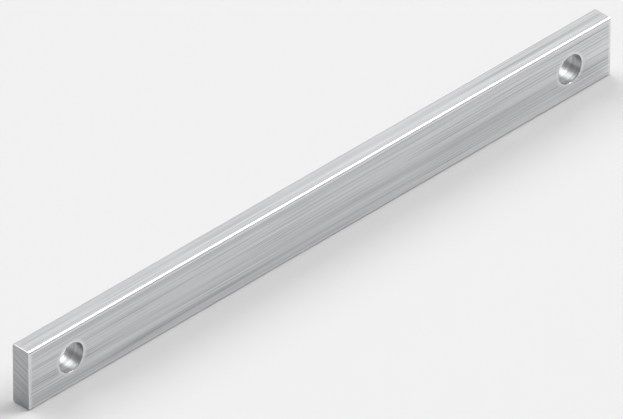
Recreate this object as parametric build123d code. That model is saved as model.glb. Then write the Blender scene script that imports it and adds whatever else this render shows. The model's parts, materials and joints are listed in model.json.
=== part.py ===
from build123d import *

import os

# A metal flat bar: radiused rectangular stock cut to length, with one bolt hole through each end.
#
# The bar stands on one of its narrow edges. +X runs along its length, +Y through its thickness and +Z up
# its width. The origin is on the surface it stands on, under the middle of the bar. All sizes are in mm.

# The stock's section
bar_width = 30.0  # upright, across the wide faces
bar_thickness = 10.0  # between the wide faces
corner_radius = 1.2  # rounding of the four long edges

# Where it is cut and drilled
bar_length = 350.0
hole_diameter = 14.0  # clears an M12 bolt by 1 mm all round
hole_end_distance = 25.0  # from each cut end to the centre of its hole

# Burrs taken off after cutting and drilling, each at 45 degrees
end_break = 0.3  # round the outline of both cut ends
hole_break = 0.3  # round both mouths of each hole

mid_height = bar_width / 2


def cut_length_of_stock():
    """The radiused section, run out to the bar's length and cut square at both ends."""
    section = RectangleRounded(bar_thickness, bar_width, corner_radius)
    upright = Plane.YZ * Pos(0, mid_height) * section
    return extrude(upright, amount=bar_length / 2, both=True)


def deburr_ends(bar):
    """The outline of each cut end, round corners included, broken all the way round."""
    ends = bar.faces().filter_by(Plane.YZ)
    return chamfer(ends.edges(), end_break)


def bolt_hole(x):
    """What the drill and the countersink take away at x: a round hole that flares at both mouths."""
    radius = hole_diameter / 2
    mouth = bar_thickness / 2
    half_profile = Polyline(
        (0, 0),
        (radius, 0),
        (radius, mouth - hole_break),
        (radius + hole_break, mouth),
        (0, mouth),
        close=True,
    )
    half = revolve(Plane.XY * make_face(half_profile), axis=Axis.Y)
    return Pos(x, 0, mid_height) * (half + mirror(half, about=Plane.XZ))


def flat_bar():
    bar = deburr_ends(cut_length_of_stock())
    hole_place = bar_length / 2 - hole_end_distance
    for x in (-hole_place, hole_place):
        bar -= bolt_hole(x)
    return bar


bar = flat_bar()
os.makedirs("parts", exist_ok=True)
export_step(bar, "parts/flat_bar.step")

print("hole centres", bar_length - 2 * hole_end_distance, "mm apart")
print("volume", round(bar.volume), "mm3")
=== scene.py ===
# %% [markdown]
# # A drilled metal flat bar
# Flat bar is rolled steel stock of oblong section. It is bought by the length, sawn off square and drilled
# for the bolts that hold it. This lesson gives such a bar its finish: the long satin grain of its ground
# faces, the arcs that a saw leaves on its ends, the rings that a drill leaves in its holes, and the thin
# breaks where each burr was filed off, bright partly by their own steel and partly by a painted highlight.
#
# The bar's size could be typed in, but two copies of a size soon drift apart. So it is measured on the packed
# model, which never changes and is loaded first.

# %% Load the imported model and measure it
import json
import math

import bmesh
import bpy
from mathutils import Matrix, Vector


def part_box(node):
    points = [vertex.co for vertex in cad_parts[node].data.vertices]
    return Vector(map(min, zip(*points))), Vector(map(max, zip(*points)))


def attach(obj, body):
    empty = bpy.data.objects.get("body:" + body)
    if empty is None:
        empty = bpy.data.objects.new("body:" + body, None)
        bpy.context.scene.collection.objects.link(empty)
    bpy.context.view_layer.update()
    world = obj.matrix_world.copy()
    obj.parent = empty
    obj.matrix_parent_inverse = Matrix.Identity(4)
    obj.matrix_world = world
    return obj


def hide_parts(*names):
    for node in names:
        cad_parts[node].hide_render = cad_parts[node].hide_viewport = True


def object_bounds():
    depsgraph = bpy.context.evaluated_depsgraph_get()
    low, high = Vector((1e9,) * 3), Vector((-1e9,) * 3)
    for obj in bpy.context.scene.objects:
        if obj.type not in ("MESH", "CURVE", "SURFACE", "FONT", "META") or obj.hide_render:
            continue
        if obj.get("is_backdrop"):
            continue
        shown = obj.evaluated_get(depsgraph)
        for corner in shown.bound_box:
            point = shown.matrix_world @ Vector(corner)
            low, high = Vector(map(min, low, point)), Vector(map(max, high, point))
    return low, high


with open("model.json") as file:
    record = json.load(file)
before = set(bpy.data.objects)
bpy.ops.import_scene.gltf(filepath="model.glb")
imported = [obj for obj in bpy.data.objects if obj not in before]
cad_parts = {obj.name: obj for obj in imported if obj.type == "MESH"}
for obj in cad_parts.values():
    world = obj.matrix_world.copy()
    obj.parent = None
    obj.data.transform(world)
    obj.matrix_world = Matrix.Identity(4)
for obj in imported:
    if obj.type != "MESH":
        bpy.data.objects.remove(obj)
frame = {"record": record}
cad_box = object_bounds()

mm = 0.001
low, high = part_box("flat_bar")
length, thickness, width = high - low
middle = (low + high) / 2
print("bar", [round(side / mm, 3) for side in (length, thickness, width)], "mm")

# %% [markdown]
# The bolt holes are mounts in the model's record, so their radius and spacing are read from there and can't
# drift from the real part. What the record doesn't hold is the rounding of the long edges and the width of
# the burr breaks. Those two repeat the sizes that the model was built from.

# %% Read the holes and name the small sizes
holes = [mount for mount in frame["record"]["mounts"] if mount["kind"] == "bore"]
hole_radius = holes[0]["dims"]["r_mm"] * mm
hole_spacing = abs(holes[1]["pos_m"][0] - holes[0]["pos_m"][0])
corner_radius = 1.2 * mm
burr_break = 0.3 * mm
print("holes", 2 * hole_radius / mm, "mm wide,", round(hole_spacing / mm, 3), "mm apart")

# %% [markdown]
# Geometry trees and shader trees are both made of nodes, so one small helper serves both. It adds a node,
# sets its own options, and fills each input with a number or with what another node gives. Colours are
# written as sRGB hex codes, as a paint chart gives them, and turned into the linear light that Blender
# works in.


# %% A helper for every node and one for colours
def add(tree, kind, values=None, **options):
    """A new node. values maps an input, by name or number, to a constant, a node or one of its outputs."""
    node = tree.nodes.new(kind)
    for name, option in options.items():
        setattr(node, name, option)
    for key, value in (values or {}).items():
        if isinstance(key, int):
            socket = node.inputs[key]
        else:
            socket = next(s for s in node.inputs if s.enabled and s.name == key)
        if isinstance(value, bpy.types.Node):
            value = next(s for s in value.outputs if s.enabled)
        if isinstance(value, bpy.types.NodeSocket):
            tree.links.new(value, socket)
        else:
            socket.default_value = value
    return node


def colour(hex_code):
    """#RRGGBB as the linear red, green, blue and alpha of a socket."""
    shares = [int(hex_code[i : i + 2], 16) / 255 for i in (1, 3, 5)]
    return [s / 12.92 if s <= 0.04045 else ((s + 0.055) / 1.055) ** 2.4 for s in shares] + [1]


print("#808080 is", round(colour("#808080")[0], 3), "in linear light")

# %% [markdown]
# The camera looks down on the bar along the line that makes length, width and thickness look equally short,
# which is called an isometric view. An orthographic camera would keep the long edges exactly parallel. A
# real lens can't, but a very long one, a long way off, keeps them parallel to the eye and still sees depth.
# The near end then shows a little larger than the far one, so the aim is moved towards the near end until
# both ends lie as far from the edge of the view.

# %% Camera
scene = bpy.context.scene
view_turn = math.radians(-45)
view_rise = math.atan(1 / math.sqrt(2))
lens_mm = 1000
sensor_mm = 36
view_width = 0.2649  # of the scene at the bar's middle, in metres
aim_shift = Vector((-2.5 * mm, 0, 0))

towards_camera = Vector(
    (
        math.sin(view_turn) * math.cos(view_rise),
        -math.cos(view_turn) * math.cos(view_rise),
        math.sin(view_rise),
    )
)
camera_data = bpy.data.cameras.new("camera")
camera_data.lens = lens_mm
camera_data.sensor_width = sensor_mm
camera_data.clip_end = 50  # metres, well past the bar from any side
camera = bpy.data.objects.new("camera", camera_data)
camera.location = middle + aim_shift + towards_camera * view_width * lens_mm / sensor_mm
camera.rotation_mode = "QUATERNION"
camera.rotation_quaternion = (-towards_camera).to_track_quat("-Z", "Y")
scene.collection.objects.link(camera)
scene.camera = camera
print("camera", round((camera.location - middle).length, 2), "m from the bar")

# %% [markdown]
# Bare metal shows little of its own colour. It shows what it mirrors, so the studio is laid out by where
# each face of the bar looks. Seen by the camera, the top edge mirrors a softbox above and behind it, and the
# front mirrors the pale floor. Between them the rounded edge sweeps past a wide light, which draws one thin
# bright line, and past dim sky on both sides of it, which keeps that line crisp.
#
# A studio often has a backdrop that curves up behind the object. A flat floor that reaches far past every
# view does the same from all sides, and takes the bar's shadow.

# %% Floor
reach = 60  # from the middle to each side, in metres
floor_mesh = bpy.data.meshes.new("floor")
floor_mesh.from_pydata(
    [(-reach, -reach, 0), (reach, -reach, 0), (reach, reach, 0), (-reach, reach, 0)], [], [(0, 1, 2, 3)]
)
floor = bpy.data.objects.new("floor", floor_mesh)
scene.collection.objects.link(floor)
floor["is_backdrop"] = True

floor_paint = bpy.data.materials.new("matt_pale_floor")
floor_paint.use_nodes = True
floor_shader = floor_paint.node_tree.nodes["Principled BSDF"]
floor_shader.inputs["Base Color"].default_value = colour("#E4E4E4")
floor_shader.inputs["Roughness"].default_value = 0.9
floor_shader.inputs["Specular IOR Level"].default_value = 0.1
floor_mesh.materials.append(floor_paint)
print("floor", 2 * reach, "m square")

# %% [markdown]
# The sky could be one even grey, but then every face would come out alike. A ramp over its height gives it
# a dark band low down and a brighter one half way up, as a studio with dark walls and a pale ceiling has.
# Its lowest stop is as bright as the lit floor looks from afar, so that no line shows where they meet.

# %% Sky
lit_floor = 0.860
sky_stops = [  # the sine of each stop's height above the horizon, and its brightness
    (0.0, lit_floor),
    (0.01, 0.25),
    (0.12, 0.14),
    (0.35, 0.48),
    (0.62, 0.50),
    (0.82, 0.24),
    (1.0, 0.38),
]
world = bpy.data.worlds.new("studio")
scene.world = world
world.use_nodes = True
sky = world.node_tree
sky.nodes.clear()
direction = add(sky, "ShaderNodeTexCoord").outputs["Generated"]
height = add(sky, "ShaderNodeSeparateXYZ", {0: direction}).outputs["Z"]
ramp = add(sky, "ShaderNodeValToRGB", {"Fac": height})
for _ in sky_stops[2:]:  # a new ramp has two stops already
    ramp.color_ramp.elements.new(0.5)
for element, (position, level) in zip(ramp.color_ramp.elements, sky_stops):
    element.position = position
    element.color = (level, level, level, 1)
background = add(sky, "ShaderNodeBackground", {"Color": ramp})
add(sky, "ShaderNodeOutputWorld", {"Surface": background})
scene.view_settings.view_transform = "Standard"  # a tone comes out as bright as it was worked out
print("sky", len(ramp.color_ramp.elements), "stops")

# %% [markdown]
# Each of the three lamps stands where one part of the bar mirrors it towards the camera. The softbox is for
# the top edge. Close to the bar it would leave a pool of light on the floor, so it is large and stands two
# metres off. The other two are suns, because a sun lights a floor of any size alike, and one about 40
# degrees across is as soft as a big window. One draws the bright line along the rounded edge, and the other
# puts a bright patch in each hole.


# %% Lamps
def lamp(name, kind, place, power, **options):
    """A lamp at a place in metres, turned to face the bar. power is in watts, or for a sun in W/m2."""
    light = bpy.data.lights.new(name, kind)
    light.energy = power
    for option, value in options.items():
        setattr(light, option, value)
    holder = bpy.data.objects.new(name, light)
    holder.location = place
    holder.rotation_mode = "QUATERNION"
    holder.rotation_quaternion = (middle - Vector(place)).to_track_quat("-Z", "Y")
    scene.collection.objects.link(holder)


lamp("top_softbox", "AREA", (1.2, 1.0, 1.1), 1.0, shape="RECTANGLE", size=1.1, size_y=0.9)
lamp("edge_light", "SUN", (1, -0.35, 1.35), 1.75, angle=math.radians(38))
lamp("hole_light", "SUN", (0, 1, 1.4), 1.2, angle=math.radians(46))
print("lamps", [light.name for light in bpy.data.lights])

# %% [markdown]
# All four finishes are one bare carbon steel, and mostly the tool that cut the surface differs; some tones
# also hold painted shade or a painted highlight. Each takes its pattern from Object coordinates, which are
# metres on the bar itself, so a scale in millimetres is a real one. Each ends in the same shader: fully
# metallic, with a steel's pale grey as the colour of its reflections, a roughness between about 0.2 and 0.5,
# and a height for the marks of the tool.


# %% What every steel starts with and ends in
bare_metal = {"Metallic": 1.0}


def start_steel(name):
    """A material with an empty tree, and the place of each point on the bar."""
    material = bpy.data.materials.new(name)
    material.use_nodes = True
    tree = material.node_tree
    tree.nodes.clear()
    return material, tree, add(tree, "ShaderNodeTexCoord").outputs["Object"]


def end_steel(material, tone, gloss, marks, depth, share, brushing=None):
    """The metal shader. The marks are depth metres deep, and share says how far they turn the light."""
    tree = material.node_tree
    bump = add(tree, "ShaderNodeBump", {"Height": marks, "Distance": depth, "Strength": share})
    surface = bare_metal | {"Base Color": tone, "Roughness": gloss, "Normal": bump}
    shader = add(tree, "ShaderNodeBsdfPrincipled", surface | (brushing or {}))
    add(tree, "ShaderNodeOutputMaterial", {"Surface": shader})
    print(material.name, "has", len(tree.nodes), "nodes")


print("every steel is", bare_metal)

# %% [markdown]
# **Satin-ground steel.** The wide faces and the long edges are ground on a belt that runs along the bar,
# which gives the eye a soft sheen made of straight, parallel lines. A belt of 120 grit leaves lines about
# 0.1 mm apart. Those are too fine to show from here, so the coarsest are drawn 2 mm apart, and each of the
# five finer layers of the noise halves that, down to 0.06 mm. A wave texture would give lines that are all
# alike. A noise drawn out to 300 times its width gives uneven ones that still run true along the bar.

# %% Grain of the belt
ground, tree, place = start_steel("satin_ground_steel")
line_gap = 2.0 * mm  # coarser than the real 0.1 mm, so that it shows
line_length = 300 * line_gap
finer_layers = 5
line_place = add(
    tree,
    "ShaderNodeMapping",
    {"Vector": place, "Scale": (1 / line_length, 1 / line_gap, 1 / line_gap)},
)
lines = add(
    tree,
    "ShaderNodeTexNoise",
    {"Vector": line_place, "Scale": 1.0, "Detail": finer_layers, "Roughness": 0.65},
)
noise_low, noise_high = 0.3, 0.7  # nearly all of a detailed noise lies between these
lines = add(tree, "ShaderNodeMapRange", {"Value": lines, "From Min": noise_low, "From Max": noise_high})
finest_gap = line_gap / 2**finer_layers
print("lines from", line_gap / mm, "down to", finest_gap / mm, "mm apart")

# %% [markdown]
# Each pass of the belt also leaves a broader band of its own. The lines alone would look the same from one
# long edge to the other. So a second noise, wider and longer, is mixed in, and gives the eye lighter and
# darker bands with the lines inside them.

# %% Bands of its passes
pass_gap = 5 * mm
pass_length = 700 * mm
pass_share = 0.3  # of the whole pattern; the lines make up the rest
band_low, band_high = 0.35, 0.65  # closer together than for the lines, which gives the bands firmer sides
pass_place = add(
    tree,
    "ShaderNodeMapping",
    {"Vector": place, "Scale": (1 / pass_length, 1 / pass_gap, 1 / pass_gap)},
)
passes = add(tree, "ShaderNodeTexNoise", {"Vector": pass_place, "Scale": 1.0, "Detail": 1.0})
passes = add(tree, "ShaderNodeMapRange", {"Value": passes, "From Min": band_low, "From Max": band_high})
grain = add(tree, "ShaderNodeMix", {"Factor": pass_share, "A": lines, "B": passes}, data_type="FLOAT")
print("bands of", pass_gap / mm, "by", pass_length / mm, "mm")

# %% [markdown]
# Here and there a coarse grain of the belt has cut a deeper line. It catches less light, and that shade is
# painted into the colour as a thin dark stroke, about as long as a hand is wide. Each could be placed by
# hand. Keeping only the peaks of a stretched noise scatters such strokes over every face instead. They are
# drawn 0.4 mm wide, because a real one of 0.1 mm wouldn't show.

# %% Stray deeper lines and their painted shade
stray_width = 0.4 * mm
stray_length = 90 * mm
peak_starts, peak_ends = 0.56, 0.74
stray_place = add(
    tree,
    "ShaderNodeMapping",
    {"Vector": place, "Scale": (1 / stray_length, 1 / stray_width, 1 / stray_width)},
)
stray_line_shade = add(tree, "ShaderNodeTexNoise", {"Vector": stray_place, "Scale": 1.0, "Detail": 1.0})
stray_line_shade = add(tree, "ShaderNodeMapRange", {"Value": stray_line_shade, "From Min": peak_starts, "From Max": peak_ends})
print("stray lines", stray_width / mm, "by", stray_length / mm, "mm")

# %% [markdown]
# Hands, gloves and the deburring tool rub the grain away first along every border. Blender's Pointiness
# finds edges by itself, but it is worked out at the corners of the mesh, and a large flat face has none
# inside it. So the tree works out how far each point lies from the nearest border: a long edge, an end or
# the rim of a hole. Both halves of the bar are alike, so one hole and one end do for both.

# %% Distance to the nearest border
x, y, z = add(tree, "ShaderNodeSeparateXYZ", {0: place}).outputs
along = add(tree, "ShaderNodeMath", {0: x}, operation="ABSOLUTE")
deep = add(tree, "ShaderNodeMath", {0: y}, operation="ABSOLUTE")
from_middle = add(tree, "ShaderNodeMath", {0: z, 1: middle.z}, operation="SUBTRACT")
above = add(tree, "ShaderNodeMath", {0: from_middle}, operation="ABSOLUTE")
to_face = add(tree, "ShaderNodeMath", {0: thickness / 2, 1: deep}, operation="SUBTRACT")
to_edge = add(tree, "ShaderNodeMath", {0: width / 2, 1: above}, operation="SUBTRACT")
to_corner = add(tree, "ShaderNodeMath", {0: to_face, 1: to_edge}, operation="MAXIMUM")
to_end = add(tree, "ShaderNodeMath", {0: length / 2, 1: along}, operation="SUBTRACT")
from_hole = add(tree, "ShaderNodeMath", {0: along, 1: hole_spacing / 2}, operation="SUBTRACT")
from_hole = add(tree, "ShaderNodeCombineXYZ", {"X": from_hole, "Z": from_middle})
from_hole = add(tree, "ShaderNodeVectorMath", {0: from_hole}, operation="LENGTH").outputs["Value"]
to_rim = add(tree, "ShaderNodeMath", {0: from_hole, 1: hole_radius}, operation="SUBTRACT")
to_border = add(tree, "ShaderNodeMath", {0: to_end, 1: to_rim}, operation="MINIMUM")
to_border = add(tree, "ShaderNodeMath", {0: to_corner, 1: to_border}, operation="MINIMUM")
print(ground.name, "has", len(tree.nodes), "nodes so far")

# %% [markdown]
# Within a millimetre or two of a border the steel is burnished, lighter and smoother. The grain is added to
# the distance, so the rubbed part ends raggedly along the lines, as it does on a real bar.

# %% Burnish near it
ragged = 0.8 * mm
wholly_rubbed = 1.0 * mm
not_rubbed = 2.4 * mm
to_border = add(tree, "ShaderNodeMath", {0: lines, 1: ragged, 2: to_border}, operation="MULTIPLY_ADD")
burnish = add(
    tree,
    "ShaderNodeMapRange",
    {
        "Value": to_border,
        "From Min": wholly_rubbed,
        "From Max": not_rubbed,
        "To Min": 1.0,
        "To Max": 0.0,
    },
)
print("burnish", wholly_rubbed / mm, "mm wide, gone at", not_rubbed / mm, "mm")

# %% [markdown]
# A ridge of the grain is light and a furrow darker, a stray line darker still with its painted shade, and
# the burnish is light. Together they average about 0.67 in linear light, which is typical of clean ground
# steel. A thin film from handling lies in soft clouds and changes only the gloss.

# %% Colour and gloss of the ground faces
tone = add(
    tree,
    "ShaderNodeMix",
    {"Factor": grain, "A": colour("#C3C4C5"), "B": colour("#EAEBEC")},
    data_type="RGBA",
)
# Painted shade: the stray lines are darkened as if their grooves caught less light.
tone = add(tree, "ShaderNodeMix", {"Factor": stray_line_shade, "A": tone, "B": colour("#A3A4A6")}, data_type="RGBA")
tone = add(tree, "ShaderNodeMix", {"Factor": burnish, "A": tone, "B": colour("#E6E7E8")}, data_type="RGBA")

cloud_length = 45 * mm
cloud_width = 20 * mm
film_dulling = 0.08  # added to the roughness where the film is thickest
cloud_place = add(
    tree,
    "ShaderNodeMapping",
    {"Vector": place, "Scale": (1 / cloud_length, 1 / cloud_width, 1 / cloud_width)},
)
film = add(tree, "ShaderNodeTexNoise", {"Vector": cloud_place, "Scale": 1.0})
gloss = add(tree, "ShaderNodeMapRange", {"Value": grain, "To Min": 0.28, "To Max": 0.40})
gloss = add(tree, "ShaderNodeMath", {0: film, 1: film_dulling, 2: gloss}, operation="MULTIPLY_ADD")
gloss = add(tree, "ShaderNodeMix", {"Factor": burnish, "A": gloss, "B": 0.25}, data_type="FLOAT")
print("the film adds up to", film_dulling, "to the roughness")

# %% [markdown]
# Parallel furrows also stretch every highlight across themselves. Anisotropy does the same along the
# shader's tangent, but no fixed direction lies across the grain on every face. So the tangent is worked out
# for each point: the cross product of the bar's direction and the face's normal is square to both. The
# direction is first turned from the bar's space to the world's, where the normal is, so the stretch stays
# right on a bar that is laid another way.

# %% Stretch of the highlights
along_bar = add(
    tree,
    "ShaderNodeVectorTransform",
    {"Vector": (1, 0, 0)},
    vector_type="VECTOR",
    convert_from="OBJECT",
    convert_to="WORLD",
)
outwards = add(tree, "ShaderNodeNewGeometry").outputs["Normal"]
across_grain = add(tree, "ShaderNodeVectorMath", {0: along_bar, 1: outwards}, operation="CROSS_PRODUCT")
brushing = {"Anisotropic": 0.5, "Tangent": across_grain}
end_steel(ground, tone, gloss, lines, depth=0.05 * mm, share=0.35, brushing=brushing)

# %% [markdown]
# ** Sawn steel.** The ends are cut on a cold saw, whose blade of 250 mm leaves arcs that the eye reads as a
# coarse, slightly bent grain. A straight noise, turned a little, would come near it. Here the distance from
# the blade's centre, above the bar and in front of it, drives a one-dimensional noise, so every arc is part
# of a true circle. Torn metal between the arcs makes the ends duller and darker than the ground faces, and
# the tones are set darker still as painted shade, so that the ends come out as the darkest faces of the bar.

# %% Arcs of the saw
sawn_and_shaded, tree, place = start_steel("sawn_end_steel_and_painted_shade")
blade_radius = 125 * mm
blade_lean = math.radians(20.5)  # forwards, of the line from the cut up to the blade's centre
blade_centre = middle + blade_radius * Vector((0, -math.sin(blade_lean), math.cos(blade_lean)))
arc_gap = 0.9 * mm  # coarser than the real 0.2 mm, so that it shows
torn_size = 0.6 * mm
torn_share = 0.25  # of the whole pattern; the arcs make up the rest
flat = add(tree, "ShaderNodeVectorMath", {0: place, 1: (0, 1, 1)}, operation="MULTIPLY")
radius = add(tree, "ShaderNodeVectorMath", {0: flat, 1: blade_centre}, operation="DISTANCE")
arcs = add(
    tree,
    "ShaderNodeTexNoise",
    {"W": radius.outputs["Value"], "Scale": 1 / arc_gap, "Detail": 2.0, "Roughness": 0.6},
    noise_dimensions="1D",
)
arcs = add(tree, "ShaderNodeMapRange", {"Value": arcs, "From Min": noise_low, "From Max": noise_high})
torn = add(tree, "ShaderNodeTexNoise", {"Vector": place, "Scale": 1 / torn_size, "Detail": 3.0})
cut = add(tree, "ShaderNodeMix", {"Factor": torn_share, "A": arcs, "B": torn}, data_type="FLOAT")
# Painted shade: part of the darkness of these two tones stands in for the shade on the ends.
tone = add(
    tree,
    "ShaderNodeMix",
    {"Factor": cut, "A": colour("#939495"), "B": colour("#C9CACB")},
    data_type="RGBA",
)
gloss = add(tree, "ShaderNodeMapRange", {"Value": cut, "To Min": 0.50, "To Max": 0.34})
end_steel(sawn_and_shaded, tone, gloss, cut, depth=0.06 * mm, share=0.6)

# %% [markdown]
# **Drilled steel.** A twist drill leaves fine rings round the wall of its hole, and its lands burnish them.
# So the wall is smoother than a sawn face and throws back one bright patch. A wave texture would draw the
# rings too evenly. The noise is squeezed along the hole and left long across it, which gives rings that
# wander a little, as a drill does.

# %% Rings of the drill
drilled, tree, place = start_steel("drilled_bore_steel")
ring_gap = 0.6 * mm  # coarser than the real feed of 0.2 mm a turn, so that it shows
ring_wander = 25 * mm
ring_place = add(
    tree,
    "ShaderNodeMapping",
    {"Vector": place, "Scale": (1 / ring_wander, 1 / ring_gap, 1 / ring_wander)},
)
rings = add(
    tree,
    "ShaderNodeTexNoise",
    {"Vector": ring_place, "Scale": 1.0, "Detail": 2.0, "Roughness": 0.6},
)
rings = add(tree, "ShaderNodeMapRange", {"Value": rings, "From Min": noise_low, "From Max": noise_high})
tone = add(
    tree,
    "ShaderNodeMix",
    {"Factor": rings, "A": colour("#A0A1A2"), "B": colour("#CDCECF")},
    data_type="RGBA",
)
gloss = add(tree, "ShaderNodeMapRange", {"Value": rings, "To Min": 0.44, "To Max": 0.32})
end_steel(drilled, tone, gloss, rings, depth=0.04 * mm, share=0.5)

# %% [markdown]
# ** Filed steel.** Where the saw and the drill left a burr, a few strokes of a file or a deburring blade took
# it off. That narrow face is the brightest steel on the bar, and draws a thin light line round each hole and
# each end. Fresh filed steel is bright, and its near-white tones are also partly a painted highlight, as few
# lamps mirror in it. The line could be painted on by a mask, but it has a slope of its own that catches the
# light, so it is a real face with its own material. Small flat marks break the line up.

# %% Marks of the file
filed_and_highlit, tree, place = start_steel("filed_break_steel_and_painted_highlight")
mark_size = 0.8 * mm
marks = add(tree, "ShaderNodeTexNoise", {"Vector": place, "Scale": 1 / mark_size, "Detail": 3.0})
# Painted highlight: the near-white tones partly stand in for a glint along the break.
tone = add(
    tree,
    "ShaderNodeMix",
    {"Factor": marks, "A": colour("#D1D2D3"), "B": colour("#EEEFF0")},
    data_type="RGBA",
)
gloss = add(tree, "ShaderNodeMapRange", {"Value": marks, "To Min": 0.32, "To Max": 0.18})
end_steel(filed_and_highlit, tone, gloss, marks, depth=0.03 * mm, share=0.3)

# %% [markdown]
# The bar's shape follows a rule, so a geometry tree makes it, in the order that the mill and the shop did:
# an oblong with rounded corners is swept along a line, and drills are taken out of it. A stretched cube
# with bevelled edges would look much the same, but the real sizes would be lost in its mesh. Here they stay
# named inputs of the tree.

# %% The tree and its named sizes
tree = bpy.data.node_groups.new("drilled_flat_bar", "GeometryNodeTree")
tree.is_modifier = True
sizes = {
    "Length": length,
    "Thickness": thickness,
    "Width": width,
    "Corner Radius": corner_radius,
    "Hole Radius": hole_radius,
    "Hole Spacing": hole_spacing,
}
for name in sizes:
    tree.interface.new_socket(name, in_out="INPUT", socket_type="NodeSocketFloat")
tree.interface.new_socket("Geometry", in_out="OUTPUT", socket_type="NodeSocketGeometry")
given = add(tree, "NodeGroupInput").outputs
half_length = add(tree, "ShaderNodeMath", {0: given["Length"], 1: 0.5}, operation="MULTIPLY")
half_width = add(tree, "ShaderNodeMath", {0: given["Width"], 1: 0.5}, operation="MULTIPLY")
print("inputs", list(sizes))

# %% [markdown]
# The section is drawn flat, with its corners filleted, and swept along the bar's middle line. Twelve steps
# to a corner make 1.2 mm look round even close up. The bar stands on its narrow edge, so the line lies half
# its width above the floor.

# %% The rolled stock
corner_steps = 12
section = add(
    tree,
    "GeometryNodeCurvePrimitiveQuadrilateral",
    {"Width": given["Thickness"], "Height": given["Width"]},
)
section = add(
    tree,
    "GeometryNodeFilletCurve",
    {"Curve": section, "Count": corner_steps, "Radius": given["Corner Radius"]},
    mode="POLY",
)
left_end = add(tree, "ShaderNodeMath", {0: half_length, 1: -1.0}, operation="MULTIPLY")
path = add(
    tree,
    "GeometryNodeCurvePrimitiveLine",
    {
        "Start": add(tree, "ShaderNodeCombineXYZ", {"X": left_end, "Z": half_width}),
        "End": add(tree, "ShaderNodeCombineXYZ", {"X": half_length, "Z": half_width}),
    },
)
stock = add(tree, "GeometryNodeCurveToMesh", {"Curve": path, "Profile Curve": section, "Fill Caps": True})
stock = add(tree, "GeometryNodeSetMaterial", {"Geometry": stock, "Material": ground})
print("each corner is rounded in", corner_steps, "steps")

# %% [markdown]
# A drill is a cylinder laid across the bar, twice as long as the bar is thick so that it clears both faces.
# The wall that it cuts could be found and given its finish afterwards. But a cut keeps the material of what
# cut it, so the drill wears the drilled steel itself.

# %% One drill
drill_sides = 96
drill_length = add(tree, "ShaderNodeMath", {0: given["Thickness"], 1: 2.0}, operation="MULTIPLY")
drill = add(
    tree,
    "GeometryNodeMeshCylinder",
    {"Vertices": drill_sides, "Radius": given["Hole Radius"], "Depth": drill_length},
).outputs["Mesh"]
drill = add(tree, "GeometryNodeTransform", {"Geometry": drill, "Rotation": (math.radians(90), 0, 0)})
drill = add(tree, "GeometryNodeSetMaterial", {"Geometry": drill, "Material": drilled})
print("the drill has", drill_sides, "sides")

# %% [markdown]
# A drill stands on each point of a short line of points, so more holes would only take more points. The
# exact solver is slower than the others, but it cuts large flat faces cleanly.

# %% The drilled holes
first_hole = add(tree, "ShaderNodeMath", {0: given["Hole Spacing"], 1: -0.5}, operation="MULTIPLY")
spots = add(
    tree,
    "GeometryNodeMeshLine",
    {
        "Count": len(holes),
        "Start Location": add(tree, "ShaderNodeCombineXYZ", {"X": first_hole, "Z": half_width}),
        "Offset": add(tree, "ShaderNodeCombineXYZ", {"X": given["Hole Spacing"]}),
    },
)
drills = add(tree, "GeometryNodeInstanceOnPoints", {"Points": spots, "Instance": drill})
drills = add(tree, "GeometryNodeRealizeInstances", {"Geometry": drills})
bar = add(
    tree,
    "GeometryNodeMeshBoolean",
    {"Mesh 1": stock, "Mesh 2": drills},
    operation="DIFFERENCE",
    solver="EXACT",
)
print(len(holes), "drills taken out of the stock")

# %% [markdown]
# The tree ends by making every instance real and giving the two ends the sawn steel. The end faces could
# be picked by their numbers, but those change with every cut. So an end is any face whose middle lies at the
# very end of the bar.

# %% The sawn ends
bar = add(tree, "GeometryNodeRealizeInstances", {"Geometry": bar})
face_middle = add(tree, "GeometryNodeInputPosition")
face_x = add(tree, "ShaderNodeSeparateXYZ", {0: face_middle}).outputs["X"]
face_x = add(tree, "ShaderNodeMath", {0: face_x}, operation="ABSOLUTE")
almost_end = add(tree, "ShaderNodeMath", {0: half_length, 1: 0.999}, operation="MULTIPLY")
is_end = add(tree, "FunctionNodeCompare", {"A": face_x, "B": almost_end}, operation="GREATER_THAN")
bar = add(tree, "GeometryNodeSetMaterial", {"Geometry": bar, "Selection": is_end, "Material": sawn_and_shaded})
add(tree, "NodeGroupOutput", {"Geometry": bar})
print(tree.name, "has", len(tree.nodes), "nodes")

# %% [markdown]
# The tree could stay on the bar as a live modifier, but what is handed over is simpler as a plain mesh. So a
# throw-away object runs the tree, its result is copied into a mesh, and the object goes.

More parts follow.
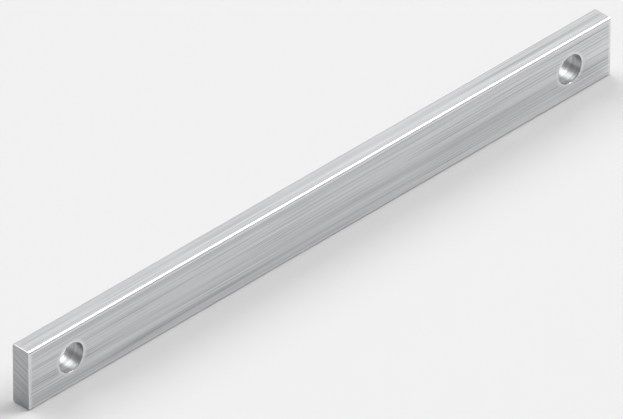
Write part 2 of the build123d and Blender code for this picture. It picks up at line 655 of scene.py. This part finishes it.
# %% Make the mesh
maker = bpy.data.objects.new("maker", bpy.data.meshes.new("maker"))
scene.collection.objects.link(maker)
modifier = maker.modifiers.new("bar", "NODES")
modifier.node_group = tree
for item in tree.interface.items_tree:
    if item.in_out == "INPUT":
        modifier[item.identifier] = sizes[item.name]
bpy.context.view_layer.update()
depsgraph = bpy.context.evaluated_depsgraph_get()
mesh = bpy.data.meshes.new_from_object(maker.evaluated_get(depsgraph), depsgraph=depsgraph)
bpy.data.objects.remove(maker)
mesh.name = "drilled_bar"
mesh.shade_smooth()
piece = bpy.data.objects.new("drilled_bar", mesh)
scene.collection.objects.link(piece)
print("mesh", len(mesh.vertices), "vertices,", len(mesh.polygons), "faces")

# %% [markdown]
# A Bevel modifier files off the burrs. Only the rims of the holes and of the two ends turn by more than 60
# degrees, so its angle limit finds them and leaves the rounded long edges alone. Weighted Normal then bends
# the shading towards the large faces, so they stay flat to the eye and only the breaks and roundings turn.

# %% Break the sharp edges
sharp_turn = math.radians(60)
mesh.materials.append(filed_and_highlit)
bevel = piece.modifiers.new("burr_break", "BEVEL")
bevel.limit_method = "ANGLE"
bevel.angle_limit = sharp_turn
bevel.width = burr_break
bevel.segments = 1
bevel.use_clamp_overlap = False
bevel.material = len(mesh.materials) - 1
piece.modifiers.new("flat_faces", "WEIGHTED_NORMAL")
print("finishes", [steel.name for steel in mesh.materials])

# %% [markdown]
# Before the piece is handed over, the edges that don't join two faces are counted and its volume is
# measured, which is positive only when the faces point outwards, and both are printed beside those of the
# imported model.


# %% Measure the finished piece as a solid
same_spot = 0.001 * mm  # corners this close are one


def solid(thing):
    """How many edges don't join two faces, and the volume in cubic millimetres, modifiers applied."""
    shell = bmesh.new()
    shell.from_object(thing, bpy.context.evaluated_depsgraph_get())
    bmesh.ops.remove_doubles(shell, verts=shell.verts, dist=same_spot)
    open_edges = sum(not edge.is_manifold for edge in shell.edges)
    volume = shell.calc_volume(signed=True) / mm**3
    shell.free()
    return open_edges, round(volume, 1)


print("open edges and volume of the piece", solid(piece))
print("and of the packed model", solid(bpy.data.objects["flat_bar"]))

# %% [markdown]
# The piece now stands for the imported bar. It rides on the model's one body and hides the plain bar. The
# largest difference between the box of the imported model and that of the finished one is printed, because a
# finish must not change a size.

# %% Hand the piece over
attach(piece, "root")
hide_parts("flat_bar")
new_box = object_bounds()
change = max(abs(new[i] - old[i]) for new, old in zip(new_box, cad_box) for i in range(3))
print("the boxes differ by", round(change / mm, 4), "mm at most")
